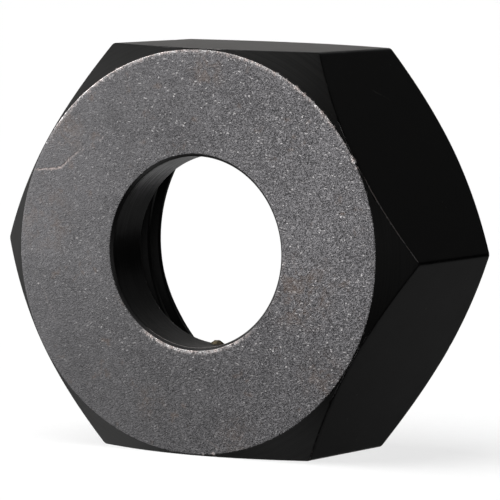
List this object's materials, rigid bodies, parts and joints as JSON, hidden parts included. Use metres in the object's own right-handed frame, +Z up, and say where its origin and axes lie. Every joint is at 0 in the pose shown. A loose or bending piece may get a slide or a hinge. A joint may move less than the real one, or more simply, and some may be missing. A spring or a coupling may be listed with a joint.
{
  "type": "hexagon clamping nut",
  "caption": "Black-finished steel hexagon nut with both ends chamfered, a broad flat front face, a plain front bore and a wider threaded bore opening at the rear.",
  "frame": {"origin": "centre of the nut's body, on the bore axis, halfway between the two end faces", "axes": "+Y along the bore axis, from the plain front face towards the threaded mouth; +Z up through the top flat, with the nut standing on the opposite flat; +X towards one long corner of the hexagon"},
  "size_m": [0.031, 0.0144, 0.027],
  "materials": {
    "black_steel": "black oxide over fine-blasted and milled steel, dull grey and grained on the front face, satin on the flats, with bright worn edges"
  },
  "bodies": {
    "root": {"nut_body": "black_steel"}
  },
  "joints": []
}
